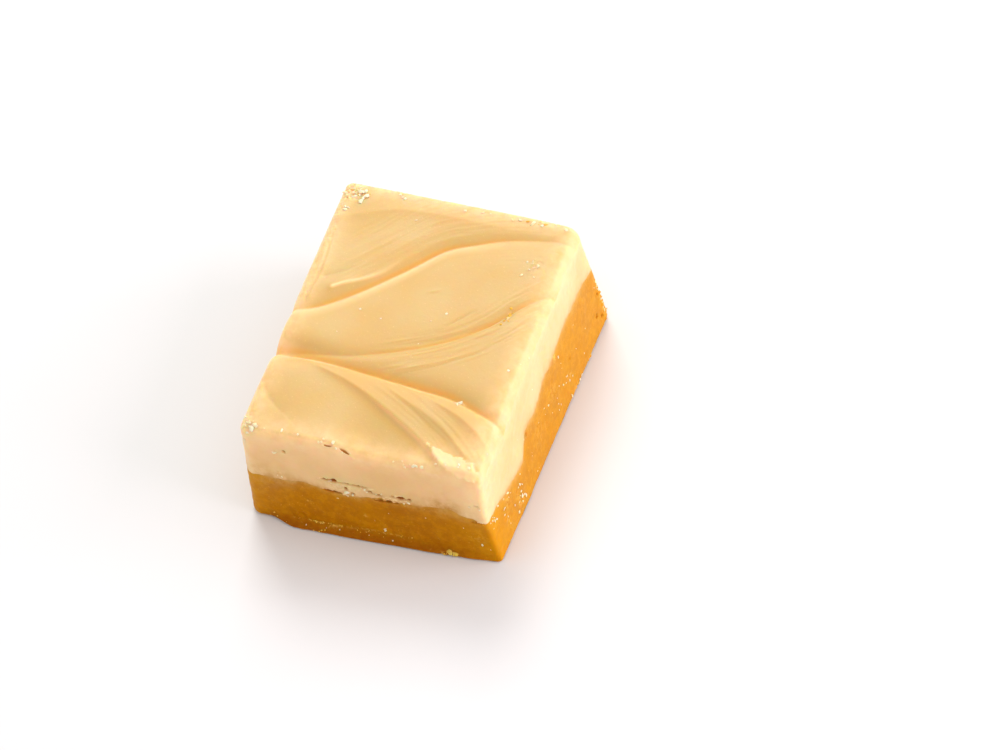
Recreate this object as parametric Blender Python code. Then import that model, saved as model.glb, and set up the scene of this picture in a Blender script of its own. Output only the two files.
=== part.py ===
"""Cut block of two-layer fudge: a butterscotch base under a cream layer with a knife-swirled top.

The block lies flat on its butterscotch base. +X runs along the near cut face, +Y runs away from
it, and +Z is up. The origin is at the centre of the block's base.
"""

import bmesh
import bpy
import numpy as np

# Driving sizes, in millimetres. The near-left bottom corner is the zero of the plan below.
MM = 0.001
WIDTH = 40.0
DEPTH = 50.5
HEIGHT = 20.2
GAP = 0.3

# The four cut walls lean a little. Plan corners: near-left, near-right, far-right, far-left.
BASE_CORNERS = ((-0.8, -0.5), (40.4, -0.4), (42.0, 50.3), (-0.6, 51.0))
TOP_CORNERS = ((0.8, 0.7), (39.3, 0.9), (39.1, 49.8), (-0.7, 51.8))

# Lip along the foot of the near wall: (distance along the wall, how far it stands out)
LIP_LINE = ((0, 0.0), (3, 0.0), (8, 1.4), (14, 1.35), (28, 1.05), (34, 0.75), (40, 0.2))
LIP_HEIGHT = 1.6
LIP_DEPTH = 12.0

# Edge rounding. Some upright edges are rounder: (plan x, plan y, radius added there)
TOP_EDGE_RADIUS = 1.3
BASE_EDGE_RADIUS = 0.45
UPRIGHT_EDGE_RADIUS = 1.2
CORNER_ROUNDING = ((0.0, 0.0, 0.9), (WIDTH, 0.0, -0.4), (WIDTH, DEPTH, 0.9))
CORNER_REACH = 8.0
# distance along the right wall and how far it stands in at the layer line
RIGHT_WAIST = ((0, 0.9), (3, 0.8), (6, 0.55), (25, 0.58), (30, 0.3), (44, 0.15), (50, 0.0))
WAIST_REACH = 8.0

# Height of the line between the layers, along each cut face: (distance along the face, height)
LAYER_LINE_NEAR = (
    (0, 9.9), (3, 10.2), (6, 9.9), (10, 10.3), (13, 9.7), (17, 9.0),
    (22, 9.8), (28, 9.8), (33, 10.4), (37, 9.1), (40, 8.4),
)
LAYER_LINE_RIGHT = (
    (0, 8.4), (4, 8.5), (8, 7.5), (13.5, 6.5), (17, 10.1), (21, 9.6),
    (28, 11.3), (36, 12.3), (44, 12.2), (50, 11.2),
)
LAYER_LINE_FAR = ((0, 11.0), (14, 10.2), (27, 11.4), (40, 11.2))
LAYER_LINE_LEFT = ((0, 9.9), (13, 8.4), (26, 9.9), (39, 10.6), (50, 11.0))

# Share of the cream's height above which the swirls move it
RELIEF_START = 0.5

# Sink of the cream's surface towards the near-right edge, the pinch where the swirls meet, and the
# soft shoulders beside the right and left edges of the top: (drop, reach)
NEAR_SINK = 1.3
NEAR_SINK_START = 14.0
NEAR_SINK_SLOPE = 8.0
NEAR_SINK_REACH = 12.0
PINCH_CENTRE = (2.0, 16.2)
PINCH_REACH = (6.0, 1.7)
PINCH_DEPTH = 0.75
RIGHT_SHOULDER = (1.0, 3.2)
LEFT_SHOULDER = (0.5, 2.5)

# Swirls. Each is a fold that follows a knife stroke in plan. A fold with a negative rise is a
# crease. The two spreads are how far it dies away to the left and to the right of the stroke.
# "ends" scales the rise at the start, the middle and the end of the stroke.
SWIRLS = {
    "upper_lap": dict(
        stroke=((-1, 23.5), (4, 25), (9.5, 29.2), (15, 34.8), (20.3, 40.6), (25, 43), (31, 45.2), (41, 47)),
        rise=-1.25, left=1.5, right=1.3, ends=(0.5, 1.0, 0.3)),
    "upper_ridge": dict(
        stroke=((5.4, 29.0), (7, 30.2), (10, 32), (12.5, 34.2), (14.5, 37)),
        rise=0.4, left=0.8, right=0.8, ends=(1.0, 0.6, 0.0)),
    "far_terrace": dict(
        stroke=((1, 42.7), (5, 44), (12, 46.5), (25, 47), (34, 46.8)),
        rise=0.26, left=2.4, right=1.2, ends=(0.8, 1.0, 0.0)),
    "middle_crease": dict(
        stroke=((-1, 16), (5, 16.5), (13, 17.2), (21, 20), (27, 23.2), (32, 27.3), (36, 32.3), (41, 37.5)),
        rise=-0.5, left=1.0, right=0.5, ends=(0.5, 0.9, 1.0)),
    "valley": dict(
        stroke=((-1, 16), (8, 15.5), (17, 14.6), (25, 13.8), (31, 13), (37, 11), (42, 9.4)),
        rise=-1.25, left=1.3, right=1.0, ends=(0.6, 1.0, 0.8)),
    "lower_lap": dict(
        stroke=((3, 15.8), (7, 14.5), (14, 12.2), (20.4, 9.2), (27.3, 5.4), (31, 2.9), (35, -0.6)),
        rise=0.7, left=2.6, right=0.55, ends=(0.1, 0.8, 1.0)),
    "second_lap": dict(
        stroke=((15, 14), (21, 12), (27.9, 8.9), (32.4, 6.3), (36.1, 3.6), (41, 0.5)),
        rise=0.36, left=1.6, right=0.5, ends=(0.0, 1.0, 1.0)),
    "third_lap": dict(
        stroke=((19, 14), (25, 12.8), (29.1, 11.2), (32.7, 9.8), (36.1, 7.9), (41, 4.2)),
        rise=0.3, left=1.4, right=0.5, ends=(0.0, 1.0, 1.0)),
}
STROKE_STEPS = 8
FOLD_SOFTNESS = 0.12

# Lattice cells along the width, the depth and the height of each layer, and triangle budgets
CREAM_CELLS = (60, 74, 9)
BUTTERSCOTCH_CELLS = (34, 42, 8)
CREAM_TRIANGLES = 5200
BUTTERSCOTCH_TRIANGLES = 1500

# Finish of each layer: base colour, roughness
CREAM_FINISH = ((0.86, 0.62, 0.31, 1.0), 0.5)
BUTTERSCOTCH_FINISH = ((0.62, 0.26, 0.025, 1.0), 0.45)


def clear_scene():
    for item in list(bpy.data.objects):
        bpy.data.objects.remove(item, do_unlink=True)


def smooth_ramp(value):
    """Eased ramp from 0 to 1 as the value goes from 0 to 1."""
    t = np.clip(value, 0.0, 1.0)
    return t * t * (3.0 - 2.0 * t)


def eased_line(position, knots):
    """Height along a cut face, eased between the named knots."""
    along = np.array([knot[0] for knot in knots], float)
    height = np.array([knot[1] for knot in knots], float)
    index = np.clip(np.searchsorted(along, position) - 1, 0, len(along) - 2)
    share = smooth_ramp((position - along[index]) / (along[index + 1] - along[index]))
    return height[index] + (height[index + 1] - height[index]) * share


def layer_line(x, y):
    """Height of the line between the layers, spread over the plan from its four edges."""
    s = np.clip(x / WIDTH, 0.0, 1.0)
    t = np.clip(y / DEPTH, 0.0, 1.0)
    near, far = eased_line(s * WIDTH, LAYER_LINE_NEAR), eased_line(s * WIDTH, LAYER_LINE_FAR)
    left, right = eased_line(t * DEPTH, LAYER_LINE_LEFT), eased_line(t * DEPTH, LAYER_LINE_RIGHT)
    corners = (LAYER_LINE_NEAR[0][1], LAYER_LINE_NEAR[-1][1], LAYER_LINE_FAR[-1][1], LAYER_LINE_FAR[0][1])
    flat = blend_corners(s, t, np.array(corners)[:, None])[..., 0]
    return near * (1 - t) + far * t + left * (1 - s) + right * s - flat


def blend_corners(s, t, corners):
    """Value at shares s and t of the plan, blended from its four corners."""
    near_left, near_right, far_right, far_left = corners
    s = s[..., None]
    t = t[..., None]
    near = near_left * (1 - s) + near_right * s
    far = far_left * (1 - s) + far_right * s
    return near * (1 - t) + far * t


def smooth_path(points):
    """Catmull-Rom curve through the points of a knife stroke."""
    p = np.array(points, float)
    p = np.vstack([2 * p[0] - p[1], p, 2 * p[-1] - p[-2]])
    t = np.arange(STROKE_STEPS)[:, None] / STROKE_STEPS
    runs = []
    for a, b, c, d in zip(p[:-3], p[1:-2], p[2:-1], p[3:]):
        curve = 2 * b + (c - a) * t + (2 * a - 5 * b + 4 * c - d) * t**2 + (3 * b - a - 3 * c + d) * t**3
        runs.append(0.5 * curve)
    return np.vstack(runs + [p[-2:-1]])


def offset_from_path(x, y, path):
    """Signed distance to a path, positive on its left, and the share of the path at that place."""
    spot = np.stack([x, y], -1)
    nearest = np.full(x.shape, np.inf)
    side = np.zeros(x.shape)
    share = np.zeros(x.shape)
    for number, (start, end) in enumerate(zip(path[:-1], path[1:])):
        run = end - start
        along = np.clip(((spot - start) @ run) / (run @ run), 0.0, 1.0)
        gap = spot - start - along[..., None] * run
        distance = np.hypot(gap[..., 0], gap[..., 1])
        closer = distance < nearest
        nearest = np.where(closer, distance, nearest)
        side = np.where(closer, np.sign(run[0] * gap[..., 1] - run[1] * gap[..., 0]), side)
        share = np.where(closer, (number + along) / (len(path) - 1), share)
    return nearest * np.where(side == 0, 1.0, side), share


def fold_height(x, y, swirl):
    """Height that one stroke's fold adds."""
    offset, share = offset_from_path(x, y, smooth_path(swirl["stroke"]))
    soft = np.sqrt(offset**2 + FOLD_SOFTNESS**2) - FOLD_SOFTNESS
    spread = np.where(offset > 0, swirl["left"], swirl["right"])
    strength = np.interp(share, (0.0, 0.5, 1.0), swirl["ends"])
    return swirl["rise"] * strength * np.exp(-soft / spread)


def shoulder(distance, size):
    """Height lost on the soft shoulder beside an edge of the top."""
    drop, reach = size
    return drop * np.clip(1.0 - distance / reach, 0.0, 1.0) ** 2


def swirl_height(x, y):
    """Height that the swirls, the pinch, the shoulders and the near sink add to the flat top."""
    sink = smooth_ramp((x - NEAR_SINK_START) / NEAR_SINK_SLOPE) * smooth_ramp(1 - y / NEAR_SINK_REACH)
    total = -NEAR_SINK * sink
    across = (x - PINCH_CENTRE[0]) / PINCH_REACH[0]
    along = (y - PINCH_CENTRE[1]) / PINCH_REACH[1]
    total -= PINCH_DEPTH * np.exp(-(across**2) - along**2)
    total -= shoulder(WIDTH - x, RIGHT_SHOULDER) + shoulder(x, LEFT_SHOULDER)
    for swirl in SWIRLS.values():
        total += fold_height(x, y, swirl)
    return total


def round_edges(point, size, level, bottom):
    """Rounds the upright edges of a box, and its top edges or its bottom edges."""
    upright = np.full(len(point), UPRIGHT_EDGE_RADIUS)
    for corner_x, corner_y, more in CORNER_ROUNDING:
        away = np.hypot(point[:, 0] - corner_x, point[:, 1] - corner_y)
        upright += more * smooth_ramp(1 - away / CORNER_REACH)
    low_level = upright * 0 + (level if bottom else -1.0)
    high_level = upright * 0 + size[2] + (1.0 if bottom else -level)
    inner_low = np.column_stack([upright, upright, low_level])
    inner_high = np.column_stack([size[0] - upright, size[1] - upright, high_level])
    core = np.clip(point, inner_low, inner_high)
    reach = np.column_stack([upright, upright, upright * 0 + level])
    offset = (point - core) / reach
    length = np.linalg.norm(offset, axis=1, keepdims=True)
    return core + offset / np.maximum(length, 1.0) * reach


def waist_share(z, level):
    """Share of the waist at each height: none at the foot, all at the layer line, none at the top."""
    above = np.clip((z - level) / (HEIGHT - level), 0.0, 1.0)
    return np.clip(z / level, 0.0, 1.0) - above**2


def lean_walls(x, y, z):
    """Moves a point of the upright box into the block with its leaning walls, its lip and its waist."""
    s, t, h = x / WIDTH, y / DEPTH, np.clip(z / HEIGHT, 0.0, 1.0)[:, None]
    base = blend_corners(s, t, np.array(BASE_CORNERS))
    top = blend_corners(s, t, np.array(TOP_CORNERS))
    plan = base * (1 - h) + top * h
    plan[:, 1] -= eased_line(x, LIP_LINE) * smooth_ramp(1 - z / LIP_HEIGHT) * smooth_ramp(1 - y / LIP_DEPTH)
    waist = eased_line(y, RIGHT_WAIST) * waist_share(z, layer_line(x, y))
    plan[:, 0] -= waist * smooth_ramp(1 - (WIDTH - x) / WAIST_REACH)
    return np.column_stack([plan, z])


def lattice_box(cells):
    """Unit box with evenly spaced loop cuts along its three directions."""
    bm = bmesh.new()
    bmesh.ops.create_cube(bm, size=1.0)
    bmesh.ops.translate(bm, vec=(0.5, 0.5, 0.5), verts=bm.verts)
    for axis, count in enumerate(cells):
        along = [e for e in bm.edges if abs(e.verts[0].co[axis] - e.verts[1].co[axis]) > 0.5]
        bmesh.ops.subdivide_edges(bm, edges=along, cuts=count - 1, use_grid_fill=True)
    return bm


def shape_cream(unit):
    """Cream layer: rounded at the top, swirled, and following the layer line underneath."""
    thickness = HEIGHT - LAYER_LINE_NEAR[0][1]
    box = unit * np.array([WIDTH, DEPTH, thickness])
    x, y, z = round_edges(box, (WIDTH, DEPTH, thickness), TOP_EDGE_RADIUS, False).T
    under = layer_line(x, y) + GAP / 2
    share = z / thickness
    relief = swirl_height(x, y) * smooth_ramp((share - RELIEF_START) / (1 - RELIEF_START))
    return lean_walls(x, y, under + (HEIGHT - under) * share + relief)


def shape_butterscotch(unit):
    """Butterscotch layer: flat base, small rounded base edge, layer line on top."""
    thickness = LAYER_LINE_NEAR[0][1]
    box = unit * np.array([WIDTH, DEPTH, thickness])
    x, y, z = round_edges(box, (WIDTH, DEPTH, thickness), BASE_EDGE_RADIUS, True).T
    over = layer_line(x, y) - GAP / 2
    return lean_walls(x, y, over * z / thickness)


def make_material(name, finish):
    colour, roughness = finish
    material = bpy.data.materials.new(name)
    material.use_nodes = True
    shader = material.node_tree.nodes["Principled BSDF"]
    shader.inputs["Base Color"].default_value = colour
    shader.inputs["Roughness"].default_value = roughness
    shader.inputs["Metallic"].default_value = 0.0
    material.diffuse_color = colour
    return material


def make_layer(name, cells, shape, triangles, material, collection):
    """One layer as an object: a shaped lattice box, thinned to its triangle budget."""
    bm = lattice_box(cells)
    unit = np.array([v.co[:] for v in bm.verts])
    for vert, place in zip(bm.verts, shape(unit)):
        vert.co = place * MM
    bmesh.ops.triangulate(bm, faces=bm.faces)
    bmesh.ops.recalc_face_normals(bm, faces=bm.faces)
    full = len(bm.faces)
    mesh = bpy.data.meshes.new(name)
    bm.to_mesh(mesh)
    bm.free()
    mesh.materials.append(material)
    mesh.shade_smooth()
    layer = bpy.data.objects.new(name, mesh)
    collection.objects.link(layer)
    thin = layer.modifiers.new("Fewer triangles", "DECIMATE")
    thin.decimate_type = "COLLAPSE"
    thin.ratio = min(1.0, triangles / full)
    return layer


def centre_on_base(layers):
    """Puts the origin at the centre of the block's box, on its base."""
    corners = np.array([layer.matrix_world @ v.co for layer in layers for v in layer.data.vertices])
    low, high = corners.min(axis=0), corners.max(axis=0)
    for layer in layers:
        layer.location = (-(low[0] + high[0]) / 2, -(low[1] + high[1]) / 2, -low[2])


def main():
    clear_scene()
    fudge = bpy.data.collections.new("fudge")
    bpy.context.scene.collection.children.link(fudge)
    butterscotch = make_material("butterscotch_fudge", BUTTERSCOTCH_FINISH)
    cream = make_material("cream_fudge", CREAM_FINISH)
    layers = [
        make_layer("butterscotch_layer", BUTTERSCOTCH_CELLS, shape_butterscotch,
                   BUTTERSCOTCH_TRIANGLES, butterscotch, fudge),
        make_layer("cream_layer", CREAM_CELLS, shape_cream, CREAM_TRIANGLES, cream, fudge),
    ]
    centre_on_base(layers)


main()
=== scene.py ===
# %% [markdown]
# # A swirled block of two-layer fudge
# The real thing is a cut square of soft sugar fudge: a butterscotch base, poured first, under a
# paler cream layer whose top was swirled with a knife before it set. The solids of the frame hold
# the sizes. This file dresses them: it builds each layer again as a fine mesh from the same knife
# strokes, adds the small damage that cutting leaves, and gives both layers a soft sugar finish.

# %% Load the frame
import math

import bmesh
import bpy
import numpy as np
from mathutils import Matrix, Vector, noise
from mathutils.bvhtree import BVHTree


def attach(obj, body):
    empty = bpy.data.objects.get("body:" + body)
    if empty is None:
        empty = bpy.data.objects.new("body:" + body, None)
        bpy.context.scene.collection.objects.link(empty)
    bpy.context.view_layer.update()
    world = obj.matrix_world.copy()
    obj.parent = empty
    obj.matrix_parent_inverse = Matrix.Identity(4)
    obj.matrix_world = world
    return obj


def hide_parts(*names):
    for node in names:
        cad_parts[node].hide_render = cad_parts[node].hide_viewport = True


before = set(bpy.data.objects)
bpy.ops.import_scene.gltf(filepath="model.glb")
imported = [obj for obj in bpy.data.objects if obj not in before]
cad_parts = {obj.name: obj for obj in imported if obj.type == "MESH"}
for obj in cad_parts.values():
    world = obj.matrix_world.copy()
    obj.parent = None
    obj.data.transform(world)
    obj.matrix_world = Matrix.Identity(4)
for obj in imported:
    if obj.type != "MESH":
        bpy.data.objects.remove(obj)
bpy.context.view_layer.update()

MM = 0.001

# %% [markdown]
# ## Sizes of the block
# Every place on the block is a plan position in millimetres from its near-left bottom corner, and a
# height. These are the sizes that the solids were made from. The four walls were cut by hand, so the
# top outline is a little smaller than the base and none of the corners is quite square.

# %% Driving sizes
WIDTH = 40.0
DEPTH = 50.5
HEIGHT = 20.2
BASE_CORNERS = ((-0.8, -0.5), (40.4, -0.4), (42.0, 50.3), (-0.6, 51.0))
TOP_CORNERS = ((0.8, 0.7), (39.3, 0.9), (39.1, 49.8), (-0.7, 51.8))
LIP_LINE = ((0, 0.0), (3, 0.0), (8, 1.4), (14, 1.35), (28, 1.05), (34, 0.75), (40, 0.2))
LIP_HEIGHT = 1.6
LIP_DEPTH = 12.0
TOP_EDGE_RADIUS = 1.3
BASE_EDGE_RADIUS = 0.45
UPRIGHT_EDGE_RADIUS = 1.2
# plan x, plan y and the radius added there
CORNER_ROUNDING = ((0.0, 0.0, 0.9), (WIDTH, 0.0, -0.4), (WIDTH, DEPTH, 0.9))
CORNER_REACH = 8.0
# distance along the right wall and how far it stands in at the layer line
RIGHT_WAIST = ((0, 0.9), (3, 0.8), (6, 0.55), (25, 0.58), (30, 0.3), (44, 0.15), (50, 0.0))
WAIST_REACH = 8.0
print("plan", WIDTH, "by", DEPTH, "mm, height", HEIGHT, "mm")

# %% [markdown]
# ## The line between the layers
# The cream was poured on warm butterscotch, so the line between them rises and falls. On each cut
# face it is given by a few heights, eased into one another. Inside the block nothing is seen, so the
# four lines are simply blended across the plan.

# %% Layer line
LAYER_LINE_NEAR = (
    (0, 9.9), (3, 10.2), (6, 9.9), (10, 10.3), (13, 9.7), (17, 9.0),
    (22, 9.8), (28, 9.8), (33, 10.4), (37, 9.1), (40, 8.4),
)
LAYER_LINE_RIGHT = (
    (0, 8.4), (4, 8.5), (8, 7.5), (13.5, 6.5), (17, 10.1), (21, 9.6),
    (28, 11.3), (36, 12.3), (44, 12.2), (50, 11.2),
)
LAYER_LINE_FAR = ((0, 11.0), (14, 10.2), (27, 11.4), (40, 11.2))
LAYER_LINE_LEFT = ((0, 9.9), (13, 8.4), (26, 9.9), (39, 10.6), (50, 11.0))


def smooth_ramp(value):
    """Eased ramp from 0 to 1 as the value goes from 0 to 1."""
    t = np.clip(value, 0.0, 1.0)
    return t * t * (3.0 - 2.0 * t)


def eased_line(position, knots):
    """Height along a cut face, eased between the named knots."""
    along = np.array([knot[0] for knot in knots], float)
    height = np.array([knot[1] for knot in knots], float)
    index = np.clip(np.searchsorted(along, position) - 1, 0, len(along) - 2)
    share = smooth_ramp((position - along[index]) / (along[index + 1] - along[index]))
    return height[index] + (height[index + 1] - height[index]) * share


def blend_corners(s, t, corners):
    """Value at shares s and t of the plan, blended from its four corners."""
    near_left, near_right, far_right, far_left = corners
    s = s[..., None]
    t = t[..., None]
    near = near_left * (1 - s) + near_right * s
    far = far_left * (1 - s) + far_right * s
    return near * (1 - t) + far * t


def layer_line(x, y):
    """Height of the line between the layers, spread over the plan from its four edges."""
    s = np.clip(x / WIDTH, 0.0, 1.0)
    t = np.clip(y / DEPTH, 0.0, 1.0)
    near, far = eased_line(s * WIDTH, LAYER_LINE_NEAR), eased_line(s * WIDTH, LAYER_LINE_FAR)
    left, right = eased_line(t * DEPTH, LAYER_LINE_LEFT), eased_line(t * DEPTH, LAYER_LINE_RIGHT)
    corners = (LAYER_LINE_NEAR[0][1], LAYER_LINE_NEAR[-1][1], LAYER_LINE_FAR[-1][1], LAYER_LINE_FAR[0][1])
    flat = blend_corners(s, t, np.array(corners)[:, None])[..., 0]
    return near * (1 - t) + far * t + left * (1 - s) + right * s - flat


probe = np.array([0.0, 20.0, 40.0])
print("layer line along the near face:", layer_line(probe, probe * 0).round(1))

# %% [markdown]
# ## Knife strokes
# A knife drawn through thick fudge leaves folds: on one side the surface drops away steeply, on the
# other it comes back slowly. So a stroke is a smooth curve in plan, and its fold is a height that
# dies away from that curve at one rate on its left and at another on its right. A sculpted or
# painted height would look the same from one side, but the same strokes also shape the solids.

# %% Strokes that shape the top
SWIRLS = {
    "upper_lap": dict(
        stroke=((-1, 23.5), (4, 25), (9.5, 29.2), (15, 34.8), (20.3, 40.6), (25, 43), (31, 45.2), (41, 47)),
        rise=-1.25, left=1.5, right=1.3, ends=(0.5, 1.0, 0.3)),
    "upper_ridge": dict(
        stroke=((5.4, 29.0), (7, 30.2), (10, 32), (12.5, 34.2), (14.5, 37)),
        rise=0.4, left=0.8, right=0.8, ends=(1.0, 0.6, 0.0)),
    "far_terrace": dict(
        stroke=((1, 42.7), (5, 44), (12, 46.5), (25, 47), (34, 46.8)),
        rise=0.26, left=2.4, right=1.2, ends=(0.8, 1.0, 0.0)),
    "middle_crease": dict(
        stroke=((-1, 16), (5, 16.5), (13, 17.2), (21, 20), (27, 23.2), (32, 27.3), (36, 32.3), (41, 37.5)),
        rise=-0.5, left=1.0, right=0.5, ends=(0.5, 0.9, 1.0)),
    "valley": dict(
        stroke=((-1, 16), (8, 15.5), (17, 14.6), (25, 13.8), (31, 13), (37, 11), (42, 9.4)),
        rise=-1.25, left=1.3, right=1.0, ends=(0.6, 1.0, 0.8)),
    "lower_lap": dict(
        stroke=((3, 15.8), (7, 14.5), (14, 12.2), (20.4, 9.2), (27.3, 5.4), (31, 2.9), (35, -0.6)),
        rise=0.7, left=2.6, right=0.55, ends=(0.1, 0.8, 1.0)),
    "second_lap": dict(
        stroke=((15, 14), (21, 12), (27.9, 8.9), (32.4, 6.3), (36.1, 3.6), (41, 0.5)),
        rise=0.36, left=1.6, right=0.5, ends=(0.0, 1.0, 1.0)),
    "third_lap": dict(
        stroke=((19, 14), (25, 12.8), (29.1, 11.2), (32.7, 9.8), (36.1, 7.9), (41, 4.2)),
        rise=0.3, left=1.4, right=0.5, ends=(0.0, 1.0, 1.0)),
}
STROKE_STEPS = 8
FOLD_SOFTNESS = 0.12
NEAR_SINK = 1.3
NEAR_SINK_START = 14.0
NEAR_SINK_SLOPE = 8.0
NEAR_SINK_REACH = 12.0
PINCH_CENTRE = (2.0, 16.2)
PINCH_REACH = (6.0, 1.7)
PINCH_DEPTH = 0.75
RIGHT_SHOULDER = (1.0, 3.2)
LEFT_SHOULDER = (0.5, 2.5)


def smooth_path(points):
    """Catmull-Rom curve through the points of a knife stroke."""
    p = np.array(points, float)
    p = np.vstack([2 * p[0] - p[1], p, 2 * p[-1] - p[-2]])
    t = np.arange(STROKE_STEPS)[:, None] / STROKE_STEPS
    runs = []
    for a, b, c, d in zip(p[:-3], p[1:-2], p[2:-1], p[3:]):
        curve = 2 * b + (c - a) * t + (2 * a - 5 * b + 4 * c - d) * t**2 + (3 * b - a - 3 * c + d) * t**3
        runs.append(0.5 * curve)
    return np.vstack(runs + [p[-2:-1]])


def offset_from_path(x, y, path):
    """Signed distance to a path, positive on its left, and the share of the path at that place."""
    spot = np.stack([x, y], -1)
    nearest = np.full(x.shape, np.inf)
    side = np.zeros(x.shape)
    share = np.zeros(x.shape)
    for number, (start, end) in enumerate(zip(path[:-1], path[1:])):
        run = end - start
        along = np.clip(((spot - start) @ run) / (run @ run), 0.0, 1.0)
        gap = spot - start - along[..., None] * run
        distance = np.hypot(gap[..., 0], gap[..., 1])
        closer = distance < nearest
        nearest = np.where(closer, distance, nearest)
        side = np.where(closer, np.sign(run[0] * gap[..., 1] - run[1] * gap[..., 0]), side)
        share = np.where(closer, (number + along) / (len(path) - 1), share)
    return nearest * np.where(side == 0, 1.0, side), share


def fold_height(x, y, swirl):
    """Height that one stroke's fold adds."""
    offset, share = offset_from_path(x, y, smooth_path(swirl["stroke"]))
    soft = np.sqrt(offset**2 + FOLD_SOFTNESS**2) - FOLD_SOFTNESS
    spread = np.where(offset > 0, swirl["left"], swirl["right"])
    strength = np.interp(share, (0.0, 0.5, 1.0), swirl["ends"])
    return swirl["rise"] * strength * np.exp(-soft / spread)


def shoulder(distance, size):
    """Height lost on the soft shoulder beside an edge of the top."""
    drop, reach = size
    return drop * np.clip(1.0 - distance / reach, 0.0, 1.0) ** 2


def swirl_height(x, y):
    """Height that the swirls, the pinch, the shoulders and the near sink add to the flat top."""
    sink = smooth_ramp((x - NEAR_SINK_START) / NEAR_SINK_SLOPE) * smooth_ramp(1 - y / NEAR_SINK_REACH)
    total = -NEAR_SINK * sink
    across = (x - PINCH_CENTRE[0]) / PINCH_REACH[0]
    along = (y - PINCH_CENTRE[1]) / PINCH_REACH[1]
    total -= PINCH_DEPTH * np.exp(-(across**2) - along**2)
    total -= shoulder(WIDTH - x, RIGHT_SHOULDER) + shoulder(x, LEFT_SHOULDER)
    for swirl in SWIRLS.values():
        total += fold_height(x, y, swirl)
    return total


middle = np.array([WIDTH / 2]), np.array([DEPTH / 2])
print("height added in the middle of the top:", swirl_height(*middle).round(2), "mm")

# %% [markdown]
# ## Fine strokes and drag lines
# Close up, the top also has hair-thin creases, one long scrape, and faint drag lines that run along
# the strokes. They are too fine for the solids, so they are added here, in the same way. A drag line
# is noise that changes fast across a stroke and slowly along it.

# %% Fine strokes
FINE_STROKES = {
    "hair_above_middle": dict(
        stroke=((25.6, 25.5), (27.5, 27.6), (29.2, 29.7)),
        rise=-0.16, left=0.16, right=0.12, ends=(0.3, 1.0, 0.4)),
    "hair_below_middle": dict(
        stroke=((30.0, 23.8), (32.0, 25.0), (33.8, 26.8)),
        rise=-0.15, left=0.2, right=0.12, ends=(0.2, 1.0, 0.3)),
    "hair_by_ridge": dict(
        stroke=((3.5, 30.8), (6, 32.3), (8.5, 34.5), (10.5, 36.5)),
        rise=-0.12, left=0.5, right=0.2, ends=(1.0, 0.8, 0.0)),
    "near_left_dimple": dict(
        stroke=((1.6, 8.4), (3, 6.6), (6, 4.4)),
        rise=-0.3, left=1.4, right=0.5, ends=(0.8, 1.0, 0.6)),
    "pale_scrape": dict(
        stroke=((20.8, 31.4), (21.6, 31.8), (22.6, 32.3)),
        rise=0.12, left=0.25, right=0.25, ends=(0.4, 1.0, 0.4)),
    "left_scratch": dict(
        stroke=((1.8, 38.1), (2.2, 34.0), (2.3, 30.5), (2.0, 28.4), (1.9, 26.2)),
        rise=-0.2, left=0.4, right=0.12, ends=(0.2, 0.7, 1.0)),
    "left_scratch_rim": dict(
        stroke=((2.2, 38.1), (2.6, 34.0), (2.7, 30.5), (2.4, 28.4), (2.3, 26.2)),
        rise=0.12, left=0.25, right=0.15, ends=(0.2, 0.8, 1.0)),
}
# the crests beside these strokes get a painted highlight
CREST_HIGHLIGHTS = (
    # stroke, how far the crest reaches on its left and on its right, strength along it
    ("upper_lap", 0.2, 2.6, (0.6, 1.0, 0.1)),
    ("upper_ridge", 0.5, 0.5, (1.0, 0.7, 0.0)),
)
DRAG_LINE_FAMILIES = (
    # stroke, lines per mm, height in mm, offsets between which they show, where along x they begin
    ("middle_crease", 1.3, 0.1, (-6.0, 4.0), 14.0),
    ("lower_lap", 1.5, 0.07, (0.2, 7.0), 14.0),
    ("upper_lap", 1.1, 0.05, (0.5, 14.0), 2.0),
    ("upper_lap", 1.0, 0.035, (-6.0, 0.0), 20.0),
)
DRAG_LINE_STRETCH = 3.0
DRAG_LINE_FADE = (1.5, 3.0, 8.0)


def fractal(points, fade, step, octaves):
    """Fractal noise at each of the points."""
    return np.array([noise.fractal(Vector(point), fade, step, octaves) for point in points])


def painted_crest_highlight(x, y):
    """Share of the painted highlight on the crests beside the strokes."""
    total = np.zeros(x.shape)
    for name, left, right, ends in CREST_HIGHLIGHTS:
        offset, share = offset_from_path(x, y, smooth_path(SWIRLS[name]["stroke"]))
        reach = np.where(offset > 0, left, right)
        strength = np.interp(share, (0.0, 0.5, 1.0), ends)
        total = np.maximum(total, strength * smooth_ramp(1 - np.abs(offset) / reach))
    return total


def drag_lines(x, y):
    """Height of the faint lines that a dragged knife leaves beside its strokes."""
    total = np.zeros(x.shape)
    for seed, (name, per_mm, height, (low, high), begin) in enumerate(DRAG_LINE_FAMILIES):
        offset, share = offset_from_path(x, y, smooth_path(SWIRLS[name]["stroke"]))
        points = [(o * per_mm, s * DRAG_LINE_STRETCH, seed * 7.3) for o, s in zip(offset, share)]
        lines = fractal(points, 0.7, 2.0, 4)
        low_fade, high_fade, begin_fade = DRAG_LINE_FADE
        window = smooth_ramp((offset - low) / low_fade) * smooth_ramp((high - offset) / high_fade)
        total += lines * height * window * smooth_ramp((x - begin) / begin_fade)
    return total


print(len(FINE_STROKES), "fine strokes and", len(DRAG_LINE_FAMILIES), "families of drag lines")

# %% [markdown]
# ## The torn skin
# At the near right the knife dragged a thin skin over the swirl, and it tore. It is a thin raised
# patch with a ragged outline, and it hangs a little over the near edge. So the wall counts as going on
# from the top, unrolled. A place lies inside the outline when a level ray from it crosses the outline
# an odd number of times.

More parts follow.
